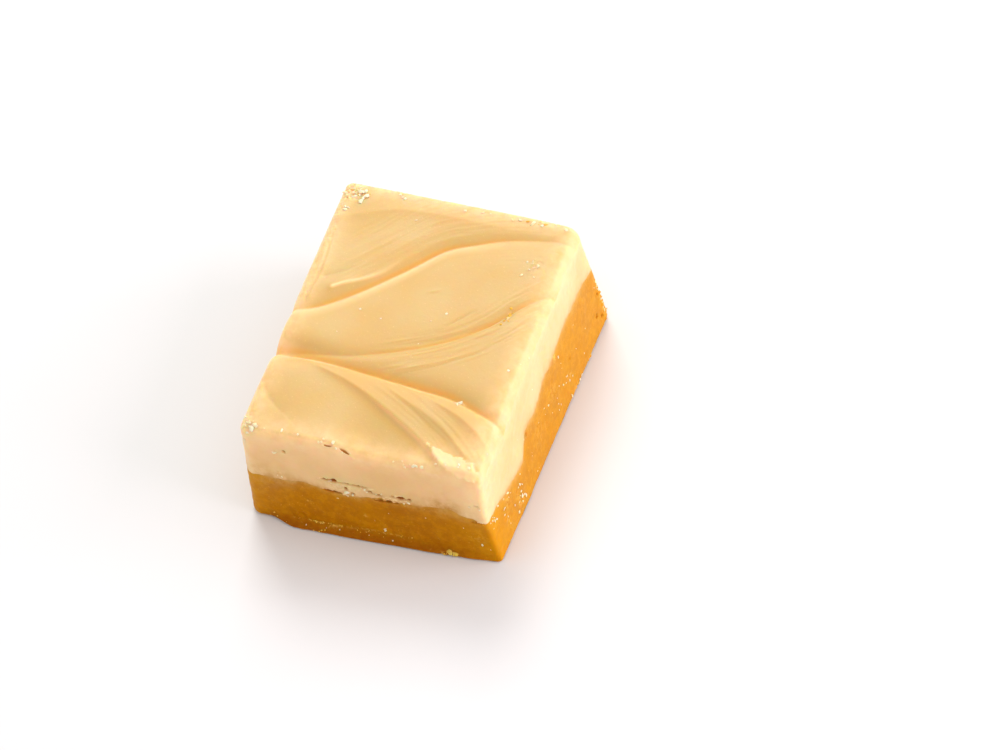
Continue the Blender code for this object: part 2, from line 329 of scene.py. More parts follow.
# %% Torn skin
SKIN_OUTLINE = (
    (30.0, 3.6), (31.7, 2.0), (33.2, 0.7), (34.4, -0.3), (35.4, -0.9), (37.2, -1.0), (38.9, -1.3),
    (39.4, 1.1), (38.8, 1.5), (37.9, 2.1), (36.1, 2.7), (34.1, 3.1), (31.6, 3.4), (30.0, 4.1), (30.0, 3.6),
)
SKIN_THICKNESS = 0.28
SKIN_RAGGEDNESS = 0.35
SKIN_EDGE = 0.22


def torn_skin(x, y):
    """Share of the torn skin at each place of the top, from 0 outside to 1 inside."""
    outline = np.array(SKIN_OUTLINE, float)
    distance = np.abs(offset_from_path(x, y, outline)[0])
    inside = np.zeros(x.shape, bool)
    for (x0, y0), (x1, y1) in zip(outline[:-1], outline[1:]):
        if y0 != y1:
            inside ^= ((y0 > y) != (y1 > y)) & (x < x0 + (y - y0) / (y1 - y0) * (x1 - x0))
    ragged = fractal([(a * 1.1, b * 1.1, 5.7) for a, b in zip(x, y)], 0.6, 2.2, 3)
    return smooth_ramp((np.where(inside, distance, -distance) + SKIN_RAGGEDNESS * ragged) / SKIN_EDGE)


print("torn skin has", len(SKIN_OUTLINE) - 1, "corners and is", SKIN_THICKNESS, "mm thick")


# %% [markdown]
# ## The lattice box
# Each layer starts as a cube with many loop cuts. A function then moves every lattice point to its
# place in the layer. That keeps the faces even, so the walls and the top can both carry fine relief.

# %% Lattice box, rounding and leaning walls
def lattice_box(cells):
    """Unit box with evenly spaced loop cuts along its three directions."""
    bm = bmesh.new()
    bmesh.ops.create_cube(bm, size=1.0)
    bmesh.ops.translate(bm, vec=(0.5, 0.5, 0.5), verts=bm.verts)
    for axis, count in enumerate(cells):
        along = [e for e in bm.edges if abs(e.verts[0].co[axis] - e.verts[1].co[axis]) > 0.5]
        bmesh.ops.subdivide_edges(bm, edges=along, cuts=count - 1, use_grid_fill=True)
    return bm


def round_edges(point, size, level, bottom):
    """Rounds the upright edges of a box, and its top edges or its bottom edges."""
    upright = np.full(len(point), UPRIGHT_EDGE_RADIUS)
    for corner_x, corner_y, more in CORNER_ROUNDING:
        away = np.hypot(point[:, 0] - corner_x, point[:, 1] - corner_y)
        upright += more * smooth_ramp(1 - away / CORNER_REACH)
    low_level = upright * 0 + (level if bottom else -1.0)
    high_level = upright * 0 + size[2] + (1.0 if bottom else -level)
    inner_low = np.column_stack([upright, upright, low_level])
    inner_high = np.column_stack([size[0] - upright, size[1] - upright, high_level])
    core = np.clip(point, inner_low, inner_high)
    reach = np.column_stack([upright, upright, upright * 0 + level])
    offset = (point - core) / reach
    length = np.linalg.norm(offset, axis=1, keepdims=True)
    return core + offset / np.maximum(length, 1.0) * reach


def waist_share(z, level):
    """Share of the waist at each height: none at the foot, all at the layer line, none at the top."""
    above = np.clip((z - level) / (HEIGHT - level), 0.0, 1.0)
    return np.clip(z / level, 0.0, 1.0) - above**2


def lean_walls(x, y, z):
    """Moves a point of the upright box into the block with its leaning walls, its lip and its waist."""
    s, t, h = x / WIDTH, y / DEPTH, np.clip(z / HEIGHT, 0.0, 1.0)[:, None]
    base = blend_corners(s, t, np.array(BASE_CORNERS))
    top = blend_corners(s, t, np.array(TOP_CORNERS))
    plan = base * (1 - h) + top * h
    plan[:, 1] -= eased_line(x, LIP_LINE) * smooth_ramp(1 - z / LIP_HEIGHT) * smooth_ramp(1 - y / LIP_DEPTH)
    waist = eased_line(y, RIGHT_WAIST) * waist_share(z, layer_line(x, y))
    plan[:, 0] -= waist * smooth_ramp(1 - (WIDTH - x) / WAIST_REACH)
    return np.column_stack([plan, z])


corner = lean_walls(np.array([WIDTH]), np.array([0.0]), np.array([HEIGHT]))[0]
print("near-right top corner before rounding:", corner.round(1), "mm")

# %% [markdown]
# ## The shape of each layer
# The cream is rounded at its top edges and swirled on top. The butterscotch is flat underneath. They
# share one layer line, which gets a fine wobble here, so that they meet without a gap.

# %% Cream and butterscotch shapes
LINE_WOBBLE = 0.18
WOBBLES_PER_MM = 0.55
RELIEF_START = 0.5
TOP_START = 0.9
# the smear's middle and spread along the near face, how deep it goes, its heights and its strength
SMEAR_CENTRE = 33.5
SMEAR_SPREAD = 4.6
SMEAR_DEPTH = 4.0
SMEAR_HEIGHT = (2.4, 1.8)
SMEAR_STRENGTH = 0.62
# the thin stain's share and reach, and how much farther it reaches near the left corner
THIN_STAIN_SHARE = 0.5
THIN_STAIN = 0.55
LEFT_STAIN_REACH = 12.0
LEFT_STAIN_EXTRA = 2.0
# wear along the edges, with a painted highlight that reaches farther round the near-right corner
EDGE_WEAR_AND_HIGHLIGHT_REACH = 2.8
CORNER_HIGHLIGHT_REACH = 16.0
THICK_ENOUGH = 3.0
# the dips of the swirls get painted shade, found with this step and depth
HOLLOW_STEP = 1.7
HOLLOW_DEPTH = 0.42


def stain_share(x, y, from_line, strength, height):
    """Share of the other layer's colour: thin all along the layer line, wide in one smear."""
    smear = np.exp(-((y / SMEAR_DEPTH) ** 2)) * np.exp(-(((x - SMEAR_CENTRE) / SMEAR_SPREAD) ** 2))
    fade = THIN_STAIN + LEFT_STAIN_EXTRA * smooth_ramp(1 - (x + y) / LEFT_STAIN_REACH)
    thin = THIN_STAIN_SHARE * (1 - smear) * np.exp(-from_line / fade)
    return thin + strength * smear * np.exp(-((from_line / height) ** 2))


def hollow_shade_share(x, y):
    """Share of painted shade at each place of the top: how far its neighbours stand above it."""
    share = np.zeros(x.shape)
    for across, along in ((HOLLOW_STEP, 0), (-HOLLOW_STEP, 0), (0, HOLLOW_STEP), (0, -HOLLOW_STEP)):
        share += swirl_height(x + across, y + along) / 4
    return smooth_ramp((share - swirl_height(x, y)) / HOLLOW_DEPTH)


def wear_and_highlight_share(x, y, below_top):
    """Share of wear and painted highlight, greatest along the edges of the block, fading on both faces and
    reaching farther round the near-right corner.
    """
    to_sides = np.minimum(x, WIDTH - x), np.minimum(y, DEPTH - y), below_top + x * 0
    to_edge = np.sort(np.stack(to_sides), axis=0)[1]
    reach = EDGE_WEAR_AND_HIGHLIGHT_REACH * (1 + smooth_ramp(1 - np.hypot(x - WIDTH, y) / CORNER_HIGHLIGHT_REACH))
    return np.exp(-((to_edge / reach) ** 2))


def fine_line(x, y):
    """Layer line with its fine wobble."""
    points = [(a * WOBBLES_PER_MM, b * WOBBLES_PER_MM, 3.1) for a, b in zip(x, y)]
    return layer_line(x, y) + LINE_WOBBLE * fractal(points, 0.8, 2.0, 4)


def shape_cream(unit):
    """Cream layer in plan millimetres, and the values that its finish reads."""
    thickness = HEIGHT - LAYER_LINE_NEAR[0][1]
    box = unit * np.array([WIDTH, DEPTH, thickness])
    x, y, z = round_edges(box, (WIDTH, DEPTH, thickness), TOP_EDGE_RADIUS, False).T
    under = fine_line(x, y)
    share = z / thickness
    skin = torn_skin(x, y - (thickness - z))
    relief = swirl_height(x, y) + drag_lines(x, y)
    for stroke in FINE_STROKES.values():
        relief += fold_height(x, y, stroke)
    fade = smooth_ramp((share - RELIEF_START) / (1 - RELIEF_START))
    height = under + (HEIGHT - under) * share + relief * fade
    painted_hollow_shade = np.zeros(x.shape)
    top = share > TOP_START
    painted_hollow_shade[top] = hollow_shade_share(x[top], y[top])
    crest_highlight = np.zeros(x.shape)
    crest_highlight[top] = painted_crest_highlight(x[top], y[top])
    stain = stain_share(x, y, height - under, SMEAR_STRENGTH, SMEAR_HEIGHT[0])
    wear_and_highlight = wear_and_highlight_share(x, y, thickness - z)
    thick = smooth_ramp((height - under) / THICK_ENOUGH)
    values = {"stain": stain, "torn_skin": skin, "painted_hollow_shade": painted_hollow_shade,
              "crest_highlight": crest_highlight, "edge_wear_and_highlight": wear_and_highlight, "thick": thick}
    return lean_walls(x, y, height), values


def shape_butterscotch(unit):
    """Butterscotch layer in plan millimetres, and the values that its finish reads."""
    thickness = LAYER_LINE_NEAR[0][1]
    box = unit * np.array([WIDTH, DEPTH, thickness])
    x, y, z = round_edges(box, (WIDTH, DEPTH, thickness), BASE_EDGE_RADIUS, True).T
    over = fine_line(x, y)
    height = over * z / thickness
    stain = stain_share(x, y, over - height, 1 - SMEAR_STRENGTH, SMEAR_HEIGHT[1])
    values = {"stain": stain, "torn_skin": x * 0, "thick": x * 0, "edge_wear_and_highlight": wear_and_highlight_share(x, y, thickness)}
    return lean_walls(x, y, height), values


print("cream is", round(HEIGHT - LAYER_LINE_NEAR[0][1], 1), "mm thick at the near-left corner")

# %% [markdown]
# ## Cutting marks
# A blade pushed through fudge drags and tears it. The near face has a row of torn pits just above
# the layer line, a thin crack under its top edge and chips lower down. Each mark is a sloping oval
# with a depth, pushed in along the wall. Rough patches are soft spots where the surface crumbled: the
# corners of the top, the torn row, and flecked places on the butterscotch. The far and left faces
# have a few marks of the same kinds.

# %% Pits, cracks and rough patches
NEAR_PITS = (
    # centre along the face, height, slope, half width, half height, depth
    (13.7, 12.0, 0.0, 0.55, 0.2, 1.2), (15.1, 12.05, 0.0, 0.5, 0.36, 1.5), (14.4, 12.2, 0.0, 0.9, 0.1, 0.6),
    (17.1, 11.85, -0.08, 1.4, 0.13, 1.0), (19.2, 11.75, 0.0, 1.2, 0.14, 1.1),
    (20.9, 10.9, -0.2, 0.6, 0.16, 0.9),
    (22.2, 10.6, -0.2, 0.6, 0.2, 1.0), (24.4, 10.9, 0.0, 0.5, 0.12, 0.8), (25.6, 10.85, 0.0, 0.65, 0.36, 1.6),
    (27.0, 10.8, 0.0, 0.3, 0.2, 1.2), (14.6, 9.4, -0.1, 1.3, 0.16, 1.1), (22.6, 9.4, 0.05, 1.5, 0.15, 1.0),
    (24.6, 9.55, 0.0, 0.8, 0.1, 0.7), (16.9, 10.6, 0.0, 0.3, 0.3, 0.7), (17.9, 9.8, 0.0, 0.35, 0.25, 0.6),
    (7.9, 16.7, 0.0, 0.26, 0.2, 0.8), (17.6, 19.35, -0.55, 1.1, 0.2, 0.6), (15.4, 19.7, 0.0, 0.6, 0.12, 0.6),
    (37.4, 8.45, 0.0, 1.3, 0.13, 0.22), (37.6, 12.2, -0.1, 0.5, 0.1, 0.5), (8.6, 2.2, 0.0, 0.7, 0.6, 0.15),
)
RIGHT_PITS = (
    (45.7, 3.8, 0.0, 0.4, 0.35, 0.6), (47.3, 2.2, 0.0, 0.5, 0.35, 0.6), (34.6, 6.3, 0.0, 0.2, 0.18, 0.4),
    (48.0, 6.5, 0.0, 0.3, 0.4, 0.5), (16.6, 9.4, 0.0, 0.6, 0.12, 0.4),
)
TOP_PATCHES = (
    # plan x, plan y, spread x, spread y, roughness in mm
    (1.1, 49.3, 1.7, 1.6, 0.55), (0.4, 44.8, 0.8, 1.8, 0.2), (1.2, 40.5, 0.4, 2.6, 0.12),
    (1.3, 2.4, 1.1, 1.8, 0.35), (5.0, 1.0, 2.0, 0.5, 0.2), (15.6, 0.7, 1.6, 0.6, 0.25),
    (27.5, 0.6, 3.5, 0.5, 0.15), (9.3, 51.2, 1.4, 0.5, 0.25), (33.0, 49.6, 1.4, 0.6, 0.3),
    (24.0, 50.6, 4.0, 0.5, 0.15), (31.9, 12.9, 0.9, 0.4, 0.25), (34.8, 40.2, 1.0, 1.8, 0.12),
    (33.9, 30.0, 0.4, 1.1, 0.22), (21.6, 19.6, 0.5, 0.2, 0.2), (39.3, 36.0, 0.7, 2.0, 0.12),
    (39.4, 20.0, 0.7, 4.0, 0.1), (38.2, 1.2, 1.2, 0.9, 0.12),
)
NEAR_PATCHES = (
    # centre along the face, height, spread along, spread up, roughness in mm
    (16.5, 10.7, 3.6, 1.0, 0.16), (23.5, 10.3, 3.4, 0.8, 0.16), (6.4, 16.6, 0.6, 0.4, 0.2),
    (37.6, 12.3, 1.0, 0.6, 0.15), (13.0, 1.3, 6.0, 0.14, 0.16), (21.0, 1.7, 4.5, 0.25, 0.16),
    (6.2, 11.4, 0.6, 0.3, 0.15), (32.3, 0.4, 1.6, 0.4, 0.3), (10.0, 6.0, 0.5, 0.5, 0.15),
    (19.2, 4.8, 0.4, 0.7, 0.15), (37.4, 5.0, 1.6, 2.0, 0.1),
)
RIGHT_PATCHES = (
    (6.4, 6.4, 1.0, 1.7, 0.16), (9.4, 3.0, 1.0, 1.9, 0.16), (5.0, 3.2, 0.7, 2.2, 0.14),
    (2.0, 7.0, 0.9, 1.4, 0.14), (30.7, 11.0, 0.6, 0.8, 0.3), (33.0, 4.3, 0.9, 0.7, 0.16),
    (33.8, 0.9, 1.3, 0.5, 0.2), (27.0, 7.0, 2.4, 2.4, 0.1), (48.8, 4.6, 0.9, 5.0, 0.32),
    (40.0, 0.5, 3.0, 0.4, 0.2), (20.0, 6.0, 3.0, 3.0, 0.08),
)
FAR_PITS = (
    (11.0, 4.2, 0.0, 0.4, 0.3, 0.6), (17.5, 13.1, -0.1, 0.6, 0.14, 0.6), (24.5, 12.6, 0.0, 0.9, 0.12, 0.7),
    (31.0, 3.0, 0.0, 0.35, 0.3, 0.6),
)
FAR_PATCHES = ((14.0, 4.0, 3.0, 2.4, 0.12), (30.0, 7.5, 2.5, 2.0, 0.14), (24.5, 12.4, 2.5, 0.7, 0.15))
LEFT_PITS = (
    (9.0, 3.4, 0.0, 0.4, 0.35, 0.6), (21.5, 11.6, 0.05, 1.1, 0.13, 0.8), (34.0, 12.4, 0.0, 0.7, 0.12, 0.7),
    (43.0, 5.0, 0.0, 0.4, 0.3, 0.6),
)
LEFT_PATCHES = ((11.0, 4.5, 3.0, 2.2, 0.12), (22.0, 11.2, 3.0, 0.8, 0.16), (38.0, 5.0, 3.5, 2.6, 0.12))
WALL_UNEVENNESS = 0.07
RIM_HEIGHT = 0.12
RIM_DISTANCE = 1.5
RIM_SPREAD = 0.45
PIT_RAGGEDNESS = 0.5
PIT_SHADE = 6.0
PATCH_GRAIN = 1.5
UNEVEN_GRAIN = 0.45
FACING_START = 0.5
FACING_RANGE = 0.3


def pit_depth(along, height, pits):
    """Depth of the pits at each place of a wall, less the torn rim that stands up round each pit."""
    depth = np.zeros(along.shape)
    rim = np.zeros(along.shape)
    for centre, level, slope, half_width, half_height, most in pits:
        across = (along - centre) / half_width
        up = (height - level - slope * (along - centre)) / half_height
        close = np.hypot(across, up) < 4.0
        spots = zip(along[close], height[close])
        ragged = np.array([noise.noise(Vector((a * 2.2, h * 2.2, centre))) for a, h in spots])
        away = np.hypot(across, up)[close] + PIT_RAGGEDNESS * ragged
        depth[close] = np.maximum(depth[close], most * np.exp(-(np.maximum(away, 0.0) ** 4)))
        ridge = np.exp(-(((away - RIM_DISTANCE) / RIM_SPREAD) ** 2)) * (0.5 + 1.5 * np.abs(ragged))
        rim[close] = np.maximum(rim[close], ridge)
    return depth - RIM_HEIGHT * rim * np.exp(-depth * 4)


def patch_roughness(along, level, patches):
    """Roughness in millimetres at each place of a face, from its rough patches."""
    rough = np.zeros(along.shape)
    for centre, height, spread_along, spread_up, most in patches:
        share = np.exp(-(((along - centre) / spread_along) ** 2) - ((level - height) / spread_up) ** 2)
        rough = np.maximum(rough, most * share)
    return rough


def mark_faces(place, outward, torn):
    """Moves points for the marks. Gives back the places, the pit depth and the roughness."""
    left, right, near, far = (
        smooth_ramp((sign * outward[:, axis] - FACING_START) / FACING_RANGE)
        for axis, sign in ((0, -1), (0, 1), (1, -1), (1, 1)))
    up = smooth_ramp((outward[:, 2] - 0.3) / FACING_RANGE)
    depth = np.zeros(len(place))
    rough = up * patch_roughness(place[:, 0], place[:, 1], TOP_PATCHES)
    faces = ((near, place[:, 0], NEAR_PITS, NEAR_PATCHES), (right, place[:, 1], RIGHT_PITS, RIGHT_PATCHES),
             (far, place[:, 0], FAR_PITS, FAR_PATCHES), (left, place[:, 1], LEFT_PITS, LEFT_PATCHES))
    for facing, along, pits, patches in faces:
        chosen = facing > 0
        level = place[chosen, 2]
        depth[chosen] += facing[chosen] * pit_depth(along[chosen], level, pits)
        patchy = facing[chosen] * patch_roughness(along[chosen], level, patches)
        rough[chosen] = np.maximum(rough[chosen], patchy)
    wall = smooth_ramp((0.6 - np.abs(outward[:, 2])) / FACING_RANGE)
    uneven = fractal(place * UNEVEN_GRAIN, 0.7, 2.1, 4) * WALL_UNEVENNESS * wall
    crumbled = rough > 0.02
    uneven[crumbled] += rough[crumbled] * fractal(place[crumbled] * PATCH_GRAIN, 0.5, 2.0, 3)
    direction = outward * np.column_stack([1 - up, 1 - up, up * 0 + 1])
    direction[:, 2] *= up
    moved = place + direction * (uneven - depth + SKIN_THICKNESS * torn)[:, None]
    moved[:, 2] = np.maximum(moved[:, 2], 0.0)
    return moved, depth, rough


print("pits:", sum(len(pits) for pits in (NEAR_PITS, RIGHT_PITS, FAR_PITS, LEFT_PITS)))

# %% [markdown]
# ## Building the layers
# The two fine layers replace the two faceted solids. The hidden side of each one, where they meet,
# needs no detail, so a plain cap closes it. Some values stay on the points for the finish to read:
# how far the other layer has smeared over, the dried top skin, which also carries painted shade, the
# dips of the swirls, which get painted shade, the painted highlight on their crests, where the cream
# is thick enough to glow, the torn skin, the edges with wear and a painted highlight, the pits, which
# get painted shade, the rough patches, the painted light on the right wall and the painted shade on
# the foot of the near wall.

# %% Fine layers
CREAM_CELLS = (210, 265, 58)
BUTTERSCOTCH_CELLS = (210, 265, 46)
# height of the painted shade on the foot of the near wall
FOOT_SHADE_HEIGHT = 2.2
LEVEL_FACE = 0.7


def close_hidden_side(bm, hidden):
    """Swaps the many faces of a side that nobody sees for one plain cap."""
    inner = [face for face in bm.faces if hidden(face)]
    bmesh.ops.delete(bm, geom=inner, context="FACES")
    rim = [edge for edge in bm.edges if edge.is_boundary]
    for edge in rim:
        edge.smooth = False
    cap = bmesh.ops.contextual_create(bm, geom=rim)["faces"]
    bmesh.ops.triangulate(bm, faces=cap)


def mesh_object(bm, name):
    """Turns a work mesh into a smooth object of the scene."""
    mesh = bpy.data.meshes.new(name)
    bm.to_mesh(mesh)
    bm.free()
    mesh.shade_smooth()
    made = bpy.data.objects.new(name, mesh)
    bpy.context.scene.collection.objects.link(made)
    return made


def make_layer(name, cells, shape, line_side, hidden_sides, node):
    """A fine layer in plan millimetres, with its values for the finish."""
    bm = lattice_box(cells)
    unit = np.array([v.co[:] for v in bm.verts])
    place, values = shape(unit)
    for vert, spot in zip(bm.verts, place):
        vert.co = spot
    bmesh.ops.recalc_face_normals(bm, faces=bm.faces)
    bm.normal_update()
    outward = np.array([v.normal[:] for v in bm.verts])
    outward[np.isclose(unit[:, 2], line_side), 2] = 0.0
    outward /= np.maximum(np.linalg.norm(outward, axis=1, keepdims=True), MM)
    place, depth, rough = mark_faces(place, outward, values["torn_skin"])
    # the top skin, a bit darker and with painted shade; the right wall, with painted light; the foot of the
    # near wall, with painted shade
    top_skin = smooth_ramp((unit[:, 2] - 0.97) / 0.03) * smooth_ramp((outward[:, 2] - 0.72) / 0.2)
    dry = smooth_ramp((outward[:, 0] - 0.4) / 0.4)
    foot = smooth_ramp(1 - place[:, 2] / FOOT_SHADE_HEIGHT) * smooth_ramp((-outward[:, 1] - 0.4) / 0.3)
    thick = values["thick"] * np.exp(-PIT_SHADE * np.maximum(depth, 0.0))
    values.update(top_skin=top_skin, pit=depth, scuff=rough, thick=thick, dry=dry, foot=foot)
    for vert, spot in zip(bm.verts, place):
        vert.co = spot
    for key, numbers in values.items():
        layer = bm.verts.layers.float.new(key)
        for vert, number in zip(bm.verts, numbers):
            vert[layer] = number
    bm.normal_update()
    for side in hidden_sides:
        close_hidden_side(bm, side)
    piece = mesh_object(bm, name)
    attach(piece, "root")
    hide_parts(node)
    print(name, "has", len(piece.data.polygons), "faces")
    return piece


def faces_down(face):
    return face.normal.z < -LEVEL_FACE


def faces_up(face):
    return face.normal.z > LEVEL_FACE


cream = make_layer("cream_swirled", CREAM_CELLS, shape_cream, 0.0, (faces_down,), "cream_layer")
butterscotch = make_layer("butterscotch_base", BUTTERSCOTCH_CELLS, shape_butterscotch,
                          1.0, (faces_down, faces_up), "butterscotch_layer")

# %% [markdown]
# ## Into the frame
# The solids have their origin at the centre of the block's box, on the base. So the plan's zero
# moves to minus half of that box, and millimetres become metres.

# %% Move the layers into the frame
corners = np.array([v.co[:] for piece in (cream, butterscotch) for v in piece.data.vertices])
PLAN_CENTRE = (corners.min(axis=0) + corners.max(axis=0))[:2] / 2
into_frame = Matrix.Scale(MM, 4) @ Matrix.Translation((-PLAN_CENTRE[0], -PLAN_CENTRE[1], 0.0))
for piece in (cream, butterscotch):
    piece.data.transform(into_frame)
print("plan centre", PLAN_CENTRE.round(2), "mm")

# %% [markdown]
# ## Crumbs
# Cutting leaves crumbs: pale ones on the corners of the top and along its edges, on the butterscotch
# wall and in the torn row, and a few warm ones. Each crumb is a small lumpy ball, sunk a little into
# the surface. Rays cast onto the layers find that surface. Each kind of crumb is one joined mesh.

# %% Crumb maker
SEED = 7
CRUMB_FLATNESS = 0.36
CRUMB_LIFT = 0.2
OUTSIDE = 30.0
draw = np.random.default_rng(SEED)
surfaces = bpy.context.evaluated_depsgraph_get()
trees = {piece.name: BVHTree.FromObject(piece, surfaces) for piece in (cream, butterscotch)}


def surface_spot(tree, plan_point, direction):
    """Where a ray from a plan point meets a layer, and the normal there."""
    start = into_frame @ Vector(plan_point)
    spot, normal, _, _ = tree.ray_cast(start, Vector(direction))
    return spot, normal


def lumpy_ball(bm, spot, normal, size):
    """One crumb, squashed and turned at random, half sunk in the surface."""
    made = bmesh.ops.create_icosphere(bm, subdivisions=3, radius=1.0)["verts"]
    shift = Vector(draw.uniform(0, 50, 3))
    squash = Vector(draw.uniform(0.5, 1.4, 3))
    turn = normal.to_track_quat("Z", "Y").to_matrix() @ Matrix.Rotation(draw.uniform(0, math.tau), 3, "Z")
    for vert in made:
        lump = 1.0 + 0.6 * noise.noise(vert.co * 1.2 + shift) + 0.35 * noise.noise(vert.co * 3.1 + shift)
        low = vert.co.z * squash.z * CRUMB_FLATNESS
        local = Vector((vert.co.x * squash.x, vert.co.y * squash.y, low)) * lump
        vert.co = spot + turn @ local * size + normal * size * CRUMB_LIFT


TOP_CLUSTERS = (
    # plan x, plan y, spread x, spread y, how many, smallest and largest half size in mm
    (2.6, 49.2, 1.3, 0.9, 17, (0.14, 0.45)), (9.8, 49.6, 1.3, 0.35, 4, (0.14, 0.28)),
    (1.7, 46.8, 0.3, 1.0, 4, (0.11, 0.28)), (2.2, 2.4, 0.8, 0.8, 13, (0.11, 0.35)),
    (5.5, 1.6, 2.2, 0.35, 8, (0.1, 0.24)), (16.0, 1.3, 1.5, 0.3, 7, (0.1, 0.27)),
    (27.5, 1.2, 2.6, 0.35, 9, (0.1, 0.27)), (35.0, 2.0, 1.5, 0.5, 5, (0.1, 0.24)),
    (31.7, 12.9, 0.7, 0.35, 4, (0.15, 0.41)), (25.0, 49.4, 5.0, 0.4, 5, (0.1, 0.24)),
    (33.5, 48.6, 2.5, 0.35, 4, (0.14, 0.36)), (35.0, 40.0, 0.8, 1.3, 7, (0.1, 0.24)),
    (20.0, 25.0, 18.0, 22.0, 18, (0.07, 0.19)),
)
NEAR_CLUSTERS = (
    (16.9, 9.4, 0.5, 0.35, 6, (0.11, 0.28)), (15.5, 12.0, 1.2, 0.25, 4, (0.1, 0.2)),
    (21.5, 10.9, 1.4, 0.3, 4, (0.1, 0.23)), (26.8, 9.8, 0.8, 0.25, 3, (0.1, 0.23)),
    (6.0, 16.3, 0.4, 0.3, 2, (0.1, 0.24)), (6.2, 10.8, 0.4, 0.3, 2, (0.1, 0.2)),
    (37.6, 3.5, 0.3, 0.4, 2, (0.11, 0.3)), (15.0, 0.9, 4.0, 0.12, 5, (0.07, 0.15)),
    (21.7, 2.4, 0.3, 0.2, 2, (0.1, 0.24)), (20.0, 5.0, 17.0, 4.0, 15, (0.05, 0.15)),
    (37.2, 11.6, 0.6, 0.3, 2, (0.11, 0.24)),
)
RIGHT_CLUSTERS = (
    (5.5, 5.0, 0.9, 1.7, 11, (0.1, 0.24)), (9.3, 3.6, 1.2, 1.8, 13, (0.1, 0.27)),
    (2.0, 7.4, 0.5, 1.0, 6, (0.1, 0.24)), (31.5, 10.7, 0.4, 0.8, 5, (0.11, 0.35)),
    (33.0, 3.9, 1.0, 0.4, 4, (0.1, 0.28)), (33.8, 0.7, 1.0, 0.15, 4, (0.1, 0.24)),
    (28.0, 5.5, 3.0, 2.5, 9, (0.07, 0.2)), (25.0, 4.0, 23.0, 3.5, 30, (0.05, 0.15)),
    (48.6, 5.0, 0.5, 4.0, 11, (0.1, 0.28)), (20.0, 14.0, 18.0, 4.0, 7, (0.05, 0.12)),
)
FAR_CLUSTERS = (
    (14.0, 4.0, 3.0, 2.0, 9, (0.07, 0.2)), (30.0, 6.5, 3.0, 2.5, 10, (0.07, 0.22)),
    (20.0, 8.0, 12.0, 5.0, 14, (0.05, 0.14)),
)
LEFT_CLUSTERS = (
    (11.0, 4.0, 3.0, 2.0, 9, (0.07, 0.2)), (38.0, 5.0, 4.0, 2.5, 11, (0.07, 0.22)),
    (25.0, 8.0, 15.0, 5.0, 16, (0.05, 0.14)),
)


# for each side: where a ray starts for a place along the side and across it, and its direction
SIDES = {
    "top": (lambda a, b: (a, b, OUTSIDE), (0, 0, -1)),
    "near": (lambda a, b: (a, -OUTSIDE, b), (0, 1, 0)),
    "right": (lambda a, b: (WIDTH + OUTSIDE, a, b), (-1, 0, 0)),
    "far": (lambda a, b: (a, DEPTH + OUTSIDE, b), (0, -1, 0)),
    "left": (lambda a, b: (-OUTSIDE, a, b), (1, 0, 0)),
}


def scatter(name, groups):
    """All the crumbs of one kind, as one mesh, from the groups of clusters on its sides."""
    bm = bmesh.new()
    count = 0
    for side, cluster in ((side, cluster) for side, clusters in groups.items() for cluster in clusters):
        start, direction = SIDES[side]
        along, level, spread_along, spread_level, number, sizes = cluster
        for _ in range(number):
            a, b = along + draw.normal() * spread_along, level + draw.normal() * spread_level
            size = draw.uniform(*sizes) * MM
            for tree in trees.values():
                spot, normal = surface_spot(tree, start(a, b), direction)
                if spot is not None:
                    lumpy_ball(bm, spot, normal, size)
                    count += 1
                    break
    piece = mesh_object(bm, name)
    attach(piece, "root")
    print(name, "has", count, "crumbs,", len(piece.data.polygons), "faces")
    return piece


pale_crumbs = scatter("pale_crumbs", dict(
    top=TOP_CLUSTERS, near=NEAR_CLUSTERS, right=RIGHT_CLUSTERS, far=FAR_CLUSTERS, left=LEFT_CLUSTERS))

WARM_TOP = (
    (33.8, 30.0, 0.25, 0.8, 12, (0.08, 0.22)), (21.6, 19.6, 0.35, 0.15, 4, (0.07, 0.16)),
    (33.0, 48.9, 0.8, 0.3, 6, (0.08, 0.2)), (2.9, 49.0, 0.9, 0.5, 8, (0.08, 0.2)),
)
WARM_NEAR = ((32.2, 0.5, 0.7, 0.2, 12, (0.1, 0.25)), (10.0, 0.6, 4.0, 0.2, 8, (0.06, 0.14)),
             (13.0, 1.35, 4.0, 0.07, 30, (0.06, 0.13)), (21.0, 1.6, 3.0, 0.2, 16, (0.05, 0.12)))
warm_crumbs = scatter("warm_crumbs", dict(top=WARM_TOP, near=WARM_NEAR))

# %% [markdown]
# ## Shared finish: sugar grain
# Fudge is a mass of tiny sugar crystals, so both layers have the same fine grain with different
# strengths. One node group makes it: a mask for small pale crystals, a slow drift of tone, and a
# height. It works in millimetres, from the object's own coordinates.

# %% Sugar grain group
DRIFT_SCALE = 0.12
CRYSTAL_SCALE = 5.0
COARSE_SCALE = 1.4


def new_group(name, inputs, outputs):
    """Node group with number inputs, a vector input for the place, and number outputs."""
    group = bpy.data.node_groups.new(name, "ShaderNodeTree")
    group.interface.new_socket("Place", in_out="INPUT", socket_type="NodeSocketVector")
    for label, value in inputs:
        socket = group.interface.new_socket(label, in_out="INPUT", socket_type="NodeSocketFloat")
        socket.default_value = value
    for label in outputs:
        group.interface.new_socket(label, in_out="OUTPUT", socket_type="NodeSocketFloat")
    enter = group.nodes.new("NodeGroupInput")
    leave = group.nodes.new("NodeGroupOutput")
    return group, enter, leave


def set_inputs(node, values):
    for label, value in values.items():
        node.inputs[label].default_value = value


def add_noise(tree, place, scale, detail, roughness=0.5):
    node = tree.nodes.new("ShaderNodeTexNoise")
    set_inputs(node, {"Scale": scale, "Detail": detail, "Roughness": roughness})
    tree.links.new(place, node.inputs["Vector"])
    return node.outputs["Fac"]


